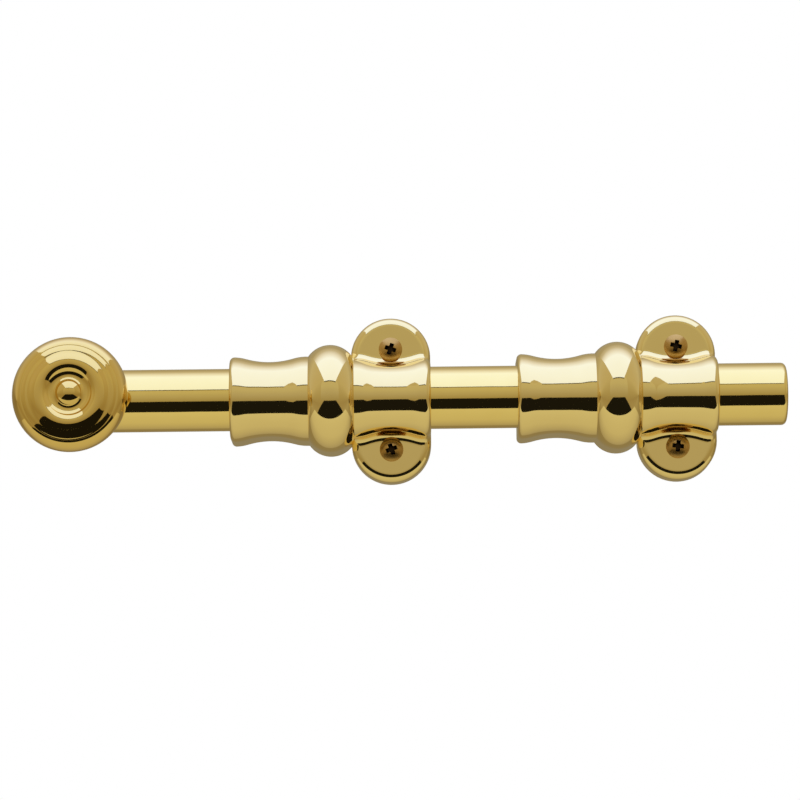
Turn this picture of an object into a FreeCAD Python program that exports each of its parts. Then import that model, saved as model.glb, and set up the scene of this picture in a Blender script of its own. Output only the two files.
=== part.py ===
import FreeCAD, Part
import math
import os
import re

import Sketcher
from FreeCAD import Vector

# A solid brass surface bolt: a round rod slides through two cast brackets that are screwed to a door.
# X runs along the rod to its tip, the door's face is the plane Y = 0, the front looks along -Y, Z is up.
# The origin lies on the door's face, at the middle of the front bracket's screw flange.

doc = FreeCAD.newDocument("surface_bolt")

# Driving dimensions, in millimetres and degrees
SIZES = {
    # Bolt rod, with a flat milled on the side that faces the door
    "rod_diameter": 15.875,
    "rod_length": 190.5,
    "rod_end_rounding": 1.3,
    "rod_projection": 17.4,
    "flat_depth": 1.0,
    "flat_inset": 2.0,
    # Places of the rod and the brackets
    "axis_height": 9.3,
    "bracket_pitch": 73.0,
    "bore_clearance": 0.06,
    # Barrel of a bracket: a hollow waist between two crests
    "barrel_offset": 30.8,
    "barrel_reach": 10.1,
    "barrel_waist_radius": 9.56,
    "barrel_waist_curve": 22.0,
    "barrel_crest_curve": 11.9,
    "barrel_crest_spread": 9.3,
    "barrel_end_rounding": 1.2,
    # Bulb between the barrel and the collar
    "bulb_offset": 15.4,
    "bulb_apex_radius": 13.75,
    "bulb_curve": 6.8,
    # Collar over the flange
    "collar_waist_radius": 8.6,
    "collar_waist_curve": 19.3,
    "collar_crest_curve": 10.3,
    "collar_crest_spread": 9.3,
    "collar_end_rounding": 1.6,
    # Screw flange, a plate with round ears
    "flange_width": 20.3,
    "flange_height": 42.4,
    "flange_thickness": 7.0,
    "flange_rounding": 2.2,
    "screw_spacing": 25.8,
    # Window in a bracket's back wall, and the leaf spring in it
    "window_offset": 24.9,
    "window_length": 22.0,
    "window_width": 6.0,
    "spring_thickness": 0.4,
    "spring_end_gap": 0.6,
    "spring_side_gap": 0.25,
    "spring_door_gap": 0.05,
    "spring_rod_gap": 0.1,
    # Oval head wood screws of the flanges
    "screw_head_diameter": 6.0,
    "screw_head_proud": 0.45,
    "screw_dome_height": 0.95,
    "screw_cone_angle": 82.0,
    "screw_shank_diameter": 3.5,
    "screw_thread_diameter": 3.0,
    "screw_reach": 19.0,
    "screw_point_length": 4.0,
    "screw_hole_clearance": 0.05,
    "screw_seat_gap": 0.02,
    # Stop pin in the rod's flat, between the brackets
    "pin_diameter": 4.0,
    "pin_depth": 5.0,
    "pin_chamfer": 0.4,
    "pin_stop_gap": 0.2,
    "pin_door_gap": 0.4,
    "pin_fit_gap": 0.02,
    # Knob: heights are above the plane of its widest rim, which lies in front of the rod's axis
    "knob_inset": 9.4,
    "knob_radius": 14.55,
    "knob_plane_height": 14.0,
    "knob_neck_radius": 5.6,
    "knob_neck_drop": 4.0,
    "knob_cove_curve": 6.2,
    "knob_back_radius": 12.95,
    "knob_back_drop": 1.5,
    "knob_back_curve": 1.6,
    "knob_rim_curve": 4.3,
    "knob_shoulder_radius": 12.778,
    "knob_shoulder_rise": 3.479,
    "knob_shoulder_curve": 1.5,
    "knob_groove_radius": 12.0,
    "knob_groove_rise": 3.762,
    "knob_bead_radius": 10.5,
    "knob_bead_rise": 4.293,
    "knob_bead_curve": 5.382,
    "knob_brow_radius": 9.3,
    "knob_brow_rise": 4.815,
    "knob_brow_curve": 3.023,
    "knob_crest_radius": 7.45,
    "knob_crest_rise": 5.416,
    "knob_crest_curve": 3.147,
    "knob_wall_radius": 5.704,
    "knob_wall_rise": 4.638,
    "knob_wall_curve": 2.35,
    "knob_floor_radius": 4.14,
    "knob_floor_rise": 3.942,
    "knob_floor_curve": 2.104,
    "knob_nub_radius": 3.073,
    "knob_nub_rise": 4.461,
    "knob_foot_curve": 1.35,
    "knob_top_rise": 5.96,
    "knob_seat_gap": 0.02,
    # Countersunk screw that holds the knob on the rod, from the rod's flat
    "fixing_head_diameter": 7.6,
    "fixing_head_depth": 2.2,
    "fixing_head_edge": 0.3,
    "fixing_diameter": 4.0,
    "fixing_grip": 3.6,
    "fixing_gap": 0.05,
    # How far a cutting tool runs past the metal that it cuts
    "tool_overrun": 1.0,
}

# Points of a line or an arc in a sketch
START, END, CENTRE = 1, 2, 3

sheet = doc.addObject("Spreadsheet::Sheet", "Sizes")
for row, (alias, number) in enumerate(SIZES.items(), start=1):
    sheet.set(f"A{row}", alias)
    sheet.set(f"B{row}", str(number))
    sheet.setAlias(f"B{row}", alias)
doc.recompute()

# Places along X that several pieces share, as formulas of the sizes
TIP_AT = "(flange_width / 2 + rod_projection)"
BARREL_END_AT = "(-barrel_offset - barrel_reach)"
PIN_AT = f"({BARREL_END_AT} - pin_stop_gap - pin_diameter / 2)"
KNOB_AT = f"({TIP_AT} - rod_length + knob_inset)"
FLAT_AT = "(rod_diameter / 2 - flat_depth)"
BORE = "(rod_diameter / 2 + bore_clearance)"


def bound(formula):
    """Name the sheet in a formula of sizes, as the document's expressions need it"""
    return re.sub(r"[a-z]+(_[a-z]+)+", lambda found: "Sizes." + found.group(), formula)


def number(formula):
    """Work out a formula of sizes now"""
    return float(sheet.evalExpression(bound(formula)))


def new_body(label, along, across="-axis_height", up="0"):
    """Start a sub-part whose own origin sits at a place given by formulas"""
    body = doc.addObject("PartDesign::Body", label)
    body.Label = label
    for axis, formula in zip("xyz", (along, across, up)):
        body.setExpression(f"Placement.Base.{axis}", bound(formula))
    return body


def plane(body, role):
    """Find one of the body's own origin planes"""
    return next(item for item in body.Origin.OriginFeatures if item.Role == role)


def new_sketch(body, name, role, offset="0"):
    """Start a sketch on an origin plane, moved along the plane's normal"""
    sketch = body.newObject("Sketcher::SketchObject", f"{body.Name}_{name}")
    sketch.AttachmentSupport = [(plane(body, role), "")]
    sketch.MapMode = "FlatFace"
    sketch.setExpression("AttachmentOffset.Base.z", bound(offset))
    return sketch


def dimension(sketch, kind, places, formula, name):
    """Add a dimension that follows a formula of sizes"""
    index = sketch.addConstraint(Sketcher.Constraint(kind, *places, number(formula)))
    sketch.renameConstraint(index, name)
    sketch.setExpression(f"Constraints.{name}", bound(formula))


def hold(sketch, item, end, across, up, name):
    """Hold a point at a place given by two formulas"""
    for kind, axis, formula, letter in (("DistanceX", -2, across, "x"), ("DistanceY", -1, up, "y")):
        if formula == "0":
            sketch.addConstraint(Sketcher.Constraint("PointOnObject", item, end, axis))
        else:
            dimension(sketch, kind, (-1, 1, item, end), formula, f"{name}_{letter}")


def arc_between(start, finish, radius, side):
    """Draw the shorter arc from start to finish; side is 1 when its centre lies on the left of the way"""
    chord = finish - start
    reach = math.sqrt(max(radius ** 2 - (chord.Length / 2) ** 2, 0))
    left = Vector(-chord.y, chord.x, 0).normalize()
    centre = (start + finish) / 2 + left * reach * side
    first, last = (start, finish) if side > 0 else (finish, start)
    angles = [math.atan2(point.y - centre.y, point.x - centre.x) for point in (first, last)]
    return Part.ArcOfCircle(Part.Circle(centre, Vector(0, 0, 1), radius), *angles)


def outline(sketch, corners, bends=None):
    """Close a line through corners given by formulas; a bend turns the side after its corner into an arc"""
    bends = bends or {}
    points = [Vector(number(across), number(up), 0) for across, up in corners]
    ends = []
    for index, point in enumerate(points):
        after = points[(index + 1) % len(points)]
        if index in bends:
            radius, side = bends[index]
            item = sketch.addGeometry(arc_between(point, after, number(radius), side), False)
            dimension(sketch, "Radius", (item,), radius, f"bend_{index}")
            ends.append((item, START, END) if side > 0 else (item, END, START))
        else:
            item = sketch.addGeometry(Part.LineSegment(point, after), False)
            ends.append((item, START, END))
    for index, (item, start, finish) in enumerate(ends):
        following, first, last = ends[(index + 1) % len(ends)]
        sketch.addConstraint(Sketcher.Constraint("Coincident", item, finish, following, first))
        hold(sketch, item, start, *corners[index], f"corner_{index}")


def turned(body, name, sketch, axis, cut=False, angle=360.0):
    """Turn a sketch about one of its axes, as metal added or cut away"""
    turn = body.newObject("PartDesign::Groove" if cut else "PartDesign::Revolution", f"{body.Name}_{name}")
    turn.Profile = sketch
    turn.ReferenceAxis = (sketch, [axis])
    turn.Angle = angle
    doc.recompute()
    return turn


def pushed(body, name, sketch, length, cut=False, backwards=False, both_ways=False):
    """Push a sketch along its normal, as metal added or cut away"""
    push = body.newObject("PartDesign::Pocket" if cut else "PartDesign::Pad", f"{body.Name}_{name}")
    push.Profile = sketch
    push.setExpression("Length", bound(length))
    push.Reversed = backwards
    if both_ways:
        push.SideType = "Symmetric"
    doc.recompute()
    return push


def mirrored(body, name, feature):
    """Repeat a feature below the middle plane"""
    mirror = body.newObject("PartDesign::Mirrored", f"{body.Name}_{name}")
    mirror.Originals = [feature]
    mirror.MirrorPlane = (plane(body, "XY_Plane"), [""])
    body.Tip = mirror
    doc.recompute()
    return mirror


def bracket_section(body):
    """Draw the bracket's long outline above the rod's axis: barrel, bulb and collar"""
    sketch = new_sketch(body, "section", "XZ_Plane")
    left, right = number(BARREL_END_AT), number("flange_width / 2")

    def ogee(place, waist, curve, crest_curve, spread):
        """Give the circles of a hollow waist and the crests on its two sides"""
        joined = number(curve) + number(crest_curve)
        top = number(waist) + number(curve)
        drop = math.sqrt(joined ** 2 - number(spread) ** 2)
        middle = (Vector(number(place), top, 0), number(curve))
        crests = [(Vector(number(place) + way * number(spread), top - drop, 0), number(crest_curve))
                  for way in (-1, 1)]
        return crests[0], middle, crests[1]

    def meeting(first, second):
        """Find the upper point where two circles cross, or touch"""
        (near, near_radius), (far, far_radius) = first, second
        way = far - near
        gap = way.Length
        along = (gap ** 2 + near_radius ** 2 - far_radius ** 2) / (2 * gap)
        rise = math.sqrt(max(near_radius ** 2 - along ** 2, 0))
        side = Vector(-way.y, way.x, 0).normalize()
        side = side if side.y > 0 else side * -1
        return near + way.normalize() * along + side * rise

    def eased(edge, way, rounding, crest):
        """Fit the rounded end edge between a crest and the flat end"""
        centre, radius = crest
        across = edge - way * number(rounding)
        up = centre.y + math.sqrt((radius - number(rounding)) ** 2 - (across - centre.x) ** 2)
        return Vector(across, up, 0), number(rounding)

    barrel = ogee("-barrel_offset", "barrel_waist_radius", "barrel_waist_curve",
                  "barrel_crest_curve", "barrel_crest_spread")
    collar = ogee("0", "collar_waist_radius", "collar_waist_curve",
                  "collar_crest_curve", "collar_crest_spread")
    bulb = (Vector(number("-bulb_offset"), number("bulb_apex_radius - bulb_curve"), 0), number("bulb_curve"))
    left_ease = eased(left, -1, "barrel_end_rounding", barrel[0])
    right_ease = eased(right, 1, "collar_end_rounding", collar[2])
    circles = [left_ease, *barrel, bulb, *collar, right_ease]

    def touching(small, large):
        """Find where a small circle touches a larger one from inside"""
        return large[0] + (small[0] - large[0]).normalize() * large[1]

    joints = [Vector(left, left_ease[0].y, 0), touching(left_ease, barrel[0])]
    joints += [meeting(first, second) for first, second in zip(circles[1:7], circles[2:8])]
    joints += [touching(right_ease, collar[2]), Vector(right, right_ease[0].y, 0)]

    start = sketch.addGeometry(Part.LineSegment(Vector(left, 0, 0), joints[0]), False)
    ends = [(start, START, END)]
    hollow = (2, 6)
    for index, (centre, radius) in enumerate(circles):
        side = 1 if index in hollow else -1
        first, last = joints[index], joints[index + 1]
        if side < 0:
            first, last = last, first
        angles = [math.atan2(point.y - centre.y, point.x - centre.x) for point in (first, last)]
        circle = Part.Circle(centre, Vector(0, 0, 1), radius)
        item = sketch.addGeometry(Part.ArcOfCircle(circle, *angles), False)
        ends.append((item, START, END) if side > 0 else (item, END, START))
    item = sketch.addGeometry(Part.LineSegment(joints[-1], Vector(right, 0, 0)), False)
    ends.append((item, START, END))
    item = sketch.addGeometry(Part.LineSegment(Vector(right, 0, 0), Vector(left, 0, 0)), False)
    ends.append((item, START, END))

    creases = (4, 5)
    curves = len(circles)
    for index, (item, start, finish) in enumerate(ends):
        following, first, last = ends[(index + 1) % len(ends)]
        smooth = index not in creases and index <= curves
        kind = "Tangent" if smooth else "Coincident"
        sketch.addConstraint(Sketcher.Constraint(kind, item, finish, following, first))
    sketch.addConstraint(Sketcher.Constraint("Vertical", ends[0][0]))
    sketch.addConstraint(Sketcher.Constraint("Vertical", ends[10][0]))
    hold(sketch, ends[11][0], END, BARREL_END_AT, "0", "left_end")
    hold(sketch, ends[11][0], START, "flange_width / 2", "0", "right_end")

    radii = ("barrel_end_rounding", "barrel_crest_curve", "barrel_waist_curve", "barrel_crest_curve",
             "bulb_curve", "collar_crest_curve", "collar_waist_curve", "collar_crest_curve",
             "collar_end_rounding")
    for (item, start, finish), radius in zip(ends[1:10], radii):
        dimension(sketch, "Radius", (item,), radius, f"curve_{item}")
    hold(sketch, ends[3][0], CENTRE, "-barrel_offset", "barrel_waist_radius + barrel_waist_curve", "barrel")
    hold(sketch, ends[5][0], CENTRE, "-bulb_offset", "bulb_apex_radius - bulb_curve", "bulb")
    hold(sketch, ends[7][0], CENTRE, "0", "collar_waist_radius + collar_waist_curve", "collar")
    for index, place in ((2, "-barrel_offset - barrel_crest_spread"), (4, "-barrel_offset + barrel_crest_spread"),
                         (6, "-collar_crest_spread"), (8, "collar_crest_spread")):
        dimension(sketch, "DistanceX", (-1, 1, ends[index][0], CENTRE), place, f"crest_{index}")
    return sketch


def make_bracket(label, along):
    """Cast bracket: round front that runs into straight sides, on a flange with two round ears"""
    body = new_body(label, along)
    front = "(axis_height - flange_thickness)"

    ears = new_sketch(body, "ears", "XZ_Plane", "-axis_height")
    half, centre = "flange_width / 2", "(flange_height - flange_width) / 2"
    outline(ears,
            [(half, f"-{centre}"), (half, centre), ("0", "flange_height / 2"),
             (f"-{half}", centre), (f"-{half}", f"-{centre}"), ("0", "-flange_height / 2")],
            {1: (half, 1), 2: (half, 1), 4: (half, 1), 5: (half, 1)})
    flange = pushed(body, "flange", ears, "flange_thickness")
    level = number(front)
    edges = [f"Edge{index}" for index, edge in enumerate(flange.Shape.Edges, start=1)
             if all(abs(vertex.Y - level) < Part.Precision.confusion() * 100 for vertex in edge.Vertexes)]
    rounding = body.newObject("PartDesign::Fillet", f"{body.Name}_rounding")
    rounding.Base = (flange, edges)
    rounding.setExpression("Radius", bound("flange_rounding"))
    doc.recompute()

    section = bracket_section(body)
    turned(body, "round_front", section, "H_Axis", angle=180.0)
    side = pushed(body, "side", section, "axis_height", backwards=True)
    mirrored(body, "other_side", side)

    bore = new_sketch(body, "bore_section", "XZ_Plane")
    first, last = f"{BARREL_END_AT} - tool_overrun", "flange_width / 2 + tool_overrun"
    outline(bore, [(first, "0"), (last, "0"), (last, BORE), (first, BORE)])
    turned(body, "bore", bore, "H_Axis", cut=True)

    window = new_sketch(body, "window_outline", "XZ_Plane", "-axis_height")
    near, far = "-window_offset - window_length / 2", "-window_offset + window_length / 2"
    outline(window, [(near, "-window_width / 2"), (far, "-window_width / 2"),
                     (far, "window_width / 2"), (near, "window_width / 2")])
    pushed(body, "window", window, "axis_height", cut=True, backwards=True)

    seat = new_sketch(body, "seat_section", "YZ_Plane")
    middle = "screw_spacing / 2"
    top = "(screw_head_diameter / 2 - screw_head_proud * tan(screw_cone_angle * 1deg / 2) + screw_seat_gap)"
    hole = "(screw_shank_diameter / 2 + screw_hole_clearance)"
    cone = f"({top} - {hole}) / tan(screw_cone_angle * 1deg / 2)"
    outline(seat, [(f"{front} - tool_overrun", middle), ("axis_height + tool_overrun", middle),
                   ("axis_height + tool_overrun", f"{middle} + {hole}"),
                   (f"{front} + {cone}", f"{middle} + {hole}"),
                   (front, f"{middle} + {top}"), (f"{front} - tool_overrun", f"{middle} + {top}")])
    spin = seat.addGeometry(Part.LineSegment(Vector(0, number(middle), 0),
                                             Vector(number("axis_height"), number(middle), 0)), True)
    hold(seat, spin, START, "0", middle, "spin_start")
    hold(seat, spin, END, "axis_height", middle, "spin_end")
    upper = turned(body, "upper_seat", seat, "Axis0", cut=True)
    mirrored(body, "lower_seat", upper)
    return body


def make_rod():
    """Bolt rod: a round bar with eased ends, a flat, and holes for the stop pin and the knob's screw"""
    body = new_body("bolt_rod", TIP_AT)
    bar = new_sketch(body, "bar_section", "XZ_Plane")
    outer, eased = "rod_diameter / 2", "(rod_diameter / 2 - rod_end_rounding)"
    outline(bar,
            [("0", "0"), ("0", eased), ("-rod_end_rounding", outer),
             ("-rod_length + rod_end_rounding", outer), ("-rod_length", eased), ("-rod_length", "0")],
            {1: ("rod_end_rounding", 1), 3: ("rod_end_rounding", 1)})
    turned(body, "bar", bar, "H_Axis")

    flat = new_sketch(body, "flat_outline", "XY_Plane")
    near, far = "-rod_projection - flat_inset", "-rod_length - tool_overrun"
    over = f"{outer} + tool_overrun"
    outline(flat, [(far, FLAT_AT), (near, FLAT_AT), (near, over), (far, over)])
    pushed(body, "flat", flat, "rod_diameter + tool_overrun", cut=True, both_ways=True)

    socket = new_sketch(body, "pin_hole_outline", "XZ_Plane", f"-{FLAT_AT}")
    place = Vector(number(f"{PIN_AT} - {TIP_AT}"), 0, 0)
    ring = socket.addGeometry(Part.Circle(place, Vector(0, 0, 1), number("pin_diameter / 2 + pin_fit_gap")))
    hold(socket, ring, CENTRE, f"{PIN_AT} - {TIP_AT}", "0", "pin")
    dimension(socket, "Radius", (ring,), "pin_diameter / 2 + pin_fit_gap", "pin_hole")
    pushed(body, "pin_hole", socket, "pin_depth + pin_fit_gap", cut=True, backwards=True)

    seat = new_sketch(body, "fixing_seat_section", "XY_Plane")
    middle = "(knob_inset - rod_length)"
    head, shank = "(fixing_head_diameter / 2 + fixing_gap)", "(fixing_diameter / 2 + fixing_gap)"
    outline(seat,
            [(middle, f"-{outer} - tool_overrun"), (f"{middle} + {shank}", f"-{outer} - tool_overrun"),
             (f"{middle} + {shank}", f"{FLAT_AT} - fixing_head_depth"),
             (f"{middle} + {head}", f"{FLAT_AT} - fixing_head_edge"),
             (f"{middle} + {head}", f"{FLAT_AT} + tool_overrun"), (middle, f"{FLAT_AT} + tool_overrun")])
    spin = seat.addGeometry(Part.LineSegment(Vector(number(middle), 0, 0),
                                             Vector(number(middle), number(outer), 0)), True)
    hold(seat, spin, START, middle, "0", "spin_start")
    hold(seat, spin, END, middle, outer, "spin_end")
    turned(body, "fixing_seat", seat, "Axis0", cut=True)
    return body


def make_knob():
    """Knob: rounded rim, groove and bead, raised face, bowl and centre nub, on a neck saddled on the rod"""
    body = new_body("knob", KNOB_AT)
    profile = new_sketch(body, "profile", "XY_Plane")

    def front(rise):
        """Height of a ring above the widest rim, as a place along Y"""
        return f"-(knob_plane_height + {rise})"

    rings = ("nub", "floor", "wall", "crest", "brow", "bead", "groove", "shoulder")
    top = "(knob_top_rise - knob_nub_rise)"
    corners = [("0", "0"), ("0", front("knob_top_rise"))]
    corners += [(f"knob_{ring}_radius", front(f"knob_{ring}_rise")) for ring in rings]
    corners += [("knob_radius", front("0")),
                ("knob_back_radius", front("-knob_back_drop")),
                ("knob_neck_radius", front("-knob_neck_drop")),
                ("knob_neck_radius", "0")]
    outline(profile, corners,
            {1: (f"(knob_nub_radius ^ 2 + {top} ^ 2) / (2 * {top})", 1),
             2: ("knob_foot_curve", -1),
             3: ("knob_floor_curve", -1),
             4: ("knob_wall_curve", 1),
             5: ("knob_crest_curve", 1),
             6: ("knob_brow_curve", -1),
             7: ("knob_bead_curve", 1),
             8: ("knob_shoulder_curve", 1),
             9: ("knob_rim_curve", 1),
             10: ("knob_back_curve", 1),
             11: ("knob_cove_curve", -1)})
    turned(body, "turning", profile, "V_Axis")

    saddle = new_sketch(body, "saddle_section", "XZ_Plane")
    reach, seat = "(knob_neck_radius + tool_overrun)", "(rod_diameter / 2 + knob_seat_gap)"
    outline(saddle, [(f"-{reach}", "0"), (reach, "0"), (reach, seat), (f"-{reach}", seat)])
    turned(body, "saddle", saddle, "H_Axis", cut=True)

    thread = new_sketch(body, "thread_outline", "XZ_Plane")
    ring = thread.addGeometry(Part.Circle(Vector(), Vector(0, 0, 1), number("fixing_diameter / 2 + fixing_gap")))
    hold(thread, ring, CENTRE, "0", "0", "thread")
    dimension(thread, "Radius", (ring,), "fixing_diameter / 2 + fixing_gap", "thread_hole")
    pushed(body, "thread_hole", thread, "rod_diameter / 2 + fixing_grip + fixing_gap", cut=True, backwards=True)
    return body


def make_knob_screw():
    """Countersunk screw, flush with the rod's flat, that reaches into the knob's neck"""
    body = new_body("knob_screw", KNOB_AT)
    profile = new_sketch(body, "profile", "XY_Plane")
    radius, head = "fixing_diameter / 2", "fixing_head_diameter / 2"
    outline(profile, [("0", "-rod_diameter / 2 - fixing_grip"), (radius, "-rod_diameter / 2 - fixing_grip"),
                      (radius, f"{FLAT_AT} - fixing_head_depth"), (head, f"{FLAT_AT} - fixing_head_edge"),
                      (head, FLAT_AT), ("0", FLAT_AT)])
    turned(body, "turning", profile, "V_Axis")
    return body


def make_pin():
    """Stop pin, set in the rod's flat, that meets a bracket at each end of the throw"""
    body = new_body("stop_pin", PIN_AT)
    profile = new_sketch(body, "profile", "XY_Plane")
    radius, tip = "pin_diameter / 2", "(axis_height - pin_door_gap)"
    outline(profile, [("0", f"{FLAT_AT} - pin_depth"), (radius, f"{FLAT_AT} - pin_depth"),
                      (radius, f"{tip} - pin_chamfer"), (f"{radius} - pin_chamfer", tip), ("0", tip)])
    turned(body, "turning", profile, "V_Axis")
    return body


def make_spring(label, along):
    """Leaf spring: a bowed strip between the door's face and the rod's flat"""
    body = new_body(label, f"{along} - window_offset")
    strip = new_sketch(body, "strip_outline", "XY_Plane")
    half = "(window_length / 2 - spring_end_gap)"
    foot, crown = "(axis_height - spring_door_gap)", f"({FLAT_AT} + spring_rod_gap)"
    rise = f"({foot} - spring_thickness - {crown})"
    curve = f"(({half} ^ 2 + {rise} ^ 2) / (2 * {rise}))"
    outline(strip,
            [(f"-{half}", f"{foot} - spring_thickness"), (half, f"{foot} - spring_thickness"),
             (half, foot), (f"-{half}", foot)],
            {0: (curve, 1), 2: (curve, -1)})
    pushed(body, "strip", strip, "window_width - 2 * spring_side_gap", both_ways=True)
    return body


def make_screw(label, along, up):
    """Oval head wood screw in a flange's countersink, with its point in the door"""
    body = new_body(label, along, "-flange_thickness", up)
    profile = new_sketch(body, "profile", "XY_Plane")
    head, shank, thread = "screw_head_diameter / 2", "screw_shank_diameter / 2", "screw_thread_diameter / 2"
    cone = f"(({head} - {shank}) / tan(screw_cone_angle * 1deg / 2) - screw_head_proud)"
    dome = f"(({head}) ^ 2 + screw_dome_height ^ 2) / (2 * screw_dome_height)"
    outline(profile,
            [("0", "-screw_head_proud - screw_dome_height"), ("0", "flange_thickness + screw_reach"),
             (thread, "flange_thickness + screw_reach - screw_point_length"), (thread, "flange_thickness"),
             (shank, "flange_thickness"), (shank, cone), (head, "-screw_head_proud")],
            {6: (dome, -1)})
    turned(body, "turning", profile, "V_Axis")
    return body


bodies = [make_rod(), make_knob(), make_knob_screw(), make_pin()]
for side, along in (("front", "0"), ("rear", "-bracket_pitch")):
    bodies.append(make_bracket(f"{side}_bracket", along))
    bodies.append(make_spring(f"{side}_spring", along))
    for level, up in (("upper", "screw_spacing / 2"), ("lower", "-screw_spacing / 2")):
        bodies.append(make_screw(f"{side}_{level}_screw", along, up))

doc.recompute()
for item in doc.Objects:
    if "Invalid" in item.State or "Error" in item.State:
        raise RuntimeError(f"{item.Name} failed: {item.State}")
os.makedirs("parts", exist_ok=True)
for body in bodies:
    if body.Shape.isNull() or not body.Shape.isValid() or len(body.Shape.Solids) != 1:
        raise RuntimeError(f"{body.Label} is not one valid solid")
for body in bodies:
    body.Shape.exportStep(f"parts/{body.Label}.step")
    box = body.Shape.BoundBox
    print(f"{body.Label:20s} {body.Shape.Volume:10.1f} mm3   "
          f"x {box.XMin:8.2f} {box.XMax:8.2f}   y {box.YMin:7.2f} {box.YMax:7.2f}   z {box.ZMin:7.2f} {box.ZMax:7.2f}")
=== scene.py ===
# %% [markdown]
# # A solid brass surface bolt
# The real thing is a round brass rod that slides through two cast brackets screwed to a door, with a
# turned knob to push it by. It is polished and lacquered, so nearly all that the eye sees on it is a
# mirror image of the room. This lesson rebuilds its surfaces finely enough for that mirror, dresses
# them in brass, and then builds the room that they reflect.

# %% Load the fixed frame
import math

import bmesh
import bpy
from mathutils import Matrix, Vector


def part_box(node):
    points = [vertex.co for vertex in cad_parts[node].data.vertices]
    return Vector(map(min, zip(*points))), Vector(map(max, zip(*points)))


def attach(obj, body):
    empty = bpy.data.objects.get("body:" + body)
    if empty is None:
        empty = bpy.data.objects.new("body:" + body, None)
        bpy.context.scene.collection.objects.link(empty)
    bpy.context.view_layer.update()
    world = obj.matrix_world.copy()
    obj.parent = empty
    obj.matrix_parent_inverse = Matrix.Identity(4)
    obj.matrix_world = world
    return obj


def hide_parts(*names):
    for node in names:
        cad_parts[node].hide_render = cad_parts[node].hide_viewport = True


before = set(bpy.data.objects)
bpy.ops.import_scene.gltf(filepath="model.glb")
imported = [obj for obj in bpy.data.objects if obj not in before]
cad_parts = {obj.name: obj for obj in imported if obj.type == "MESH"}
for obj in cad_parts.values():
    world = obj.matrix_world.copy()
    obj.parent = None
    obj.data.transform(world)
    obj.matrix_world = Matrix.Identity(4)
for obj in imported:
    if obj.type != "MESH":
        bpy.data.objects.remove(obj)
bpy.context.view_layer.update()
scene = bpy.context.scene
MM = 0.001

# %% [markdown]
# ## Where the pieces are
# The frame already says how long the rod is and where each bracket stands. Reading those places from
# it, instead of typing them again, keeps the fine surfaces exactly over the solids that they replace.
# What the frame gives is in metres, like the scene. A size that is typed in is in millimetres, as on a
# maker's drawing, and is multiplied by MM where it meets the scene.

# %% Read the places from the frame
FLANGE_HALF = 10.15
rod_low, rod_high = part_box("bolt_rod")
knob_low, knob_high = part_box("knob")
pin_low, pin_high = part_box("stop_pin")
rod_radius = (rod_high.z - rod_low.z) / 2
ROD_R = rod_radius / MM
axis_y = rod_low.y + rod_radius
tip_x, tail_x = rod_high.x, rod_low.x
knob_x = (knob_low.x + knob_high.x) / 2
pin_x = (pin_low.x + pin_high.x) / 2
bracket_x = {name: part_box(f"{name}_bracket")[1].x - FLANGE_HALF * MM for name in ("front", "rear")}
print("rod radius mm:", round(ROD_R, 3), "axis y mm:", round(axis_y / MM, 3), bracket_x)

# %% [markdown]
# ## Drawing a profile
# A turner works from a template: half the outline of the piece, made of straight runs and arcs. The
# same idea works here. A profile is a list of corners, and a corner with a third value bends the side
# after it into an arc of that radius. The sign of the radius says to which side the arc bulges. Arcs
# are divided finely, because a mirror shows every facet.

# %% Helpers for profiles
ARC_STEP = math.radians(4.5)
LONGEST_SIDE = 1.2 * MM


def arc_points(start, finish, radius):
    """Points of the shorter arc after start, up to finish; with a positive radius its centre is left"""
    chord = finish - start
    reach = math.sqrt(max(radius ** 2 - (chord.length / 2) ** 2, 0.0))
    left = Vector((-chord.y, chord.x)).normalized()
    centre = (start + finish) / 2 + left * reach * (1 if radius > 0 else -1)
    first = math.atan2(start.y - centre.y, start.x - centre.x)
    turn = math.atan2(finish.y - centre.y, finish.x - centre.x) - first
    turn = (turn + math.pi) % (2 * math.pi) - math.pi
    steps = max(2, math.ceil(abs(turn) / ARC_STEP), math.ceil(abs(turn * radius) / LONGEST_SIDE))
    angles = [first + turn * step / steps for step in range(1, steps)]
    return [centre + Vector((math.cos(a), math.sin(a))) * abs(radius) for a in angles] + [finish]


def profile(corners):
    """An open outline in metres through corners of (along, radius) or (along, radius, bend)"""
    line = [Vector(corners[0][:2]) * MM]
    for (_, _, *bend), following in zip(corners, corners[1:]):
        finish = Vector(following[:2]) * MM
        line += arc_points(line[-1], finish, bend[0] * MM) if bend else [finish]
    return line


def cylinder(start, finish, radius):
    """Corners of a plain cylinder with flat ends"""
    return [(start, 0.0), (start, radius), (finish, radius), (finish, 0.0)]


print("arc step in degrees:", round(math.degrees(ARC_STEP), 2))

# %% [markdown]
# ## One tree for turned and for cast forms
# A rod, a knob and a screw are turned: their profile goes once round an axis. A bracket is cast to a
# close cousin of that rule: the profile goes half round the front, and then both edges run straight
# back to the door. One Geometry Nodes tree covers both. It lays out a grid with a row for each point of
# the profile, and moves each point to its place round the axis. `Turn` is the angle that is swept,
# `Back` is the length of the straight sides, and `Side Columns` says how many columns each side takes.

# %% Helpers for node trees
GEOMETRY = ("Geometry", "NodeSocketGeometry")


def new_group(name, kind, inputs, outputs):
    """Start a node group with named sockets, each given as label, kind and perhaps a first value"""
    group = bpy.data.node_groups.new(name, kind)
    for way, sockets in (("INPUT", inputs), ("OUTPUT", outputs)):
        for label, socket_kind, *value in sockets:
            socket = group.interface.new_socket(label, in_out=way, socket_type=socket_kind)
            if value:
                socket.default_value = value[0]
    return group


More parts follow.
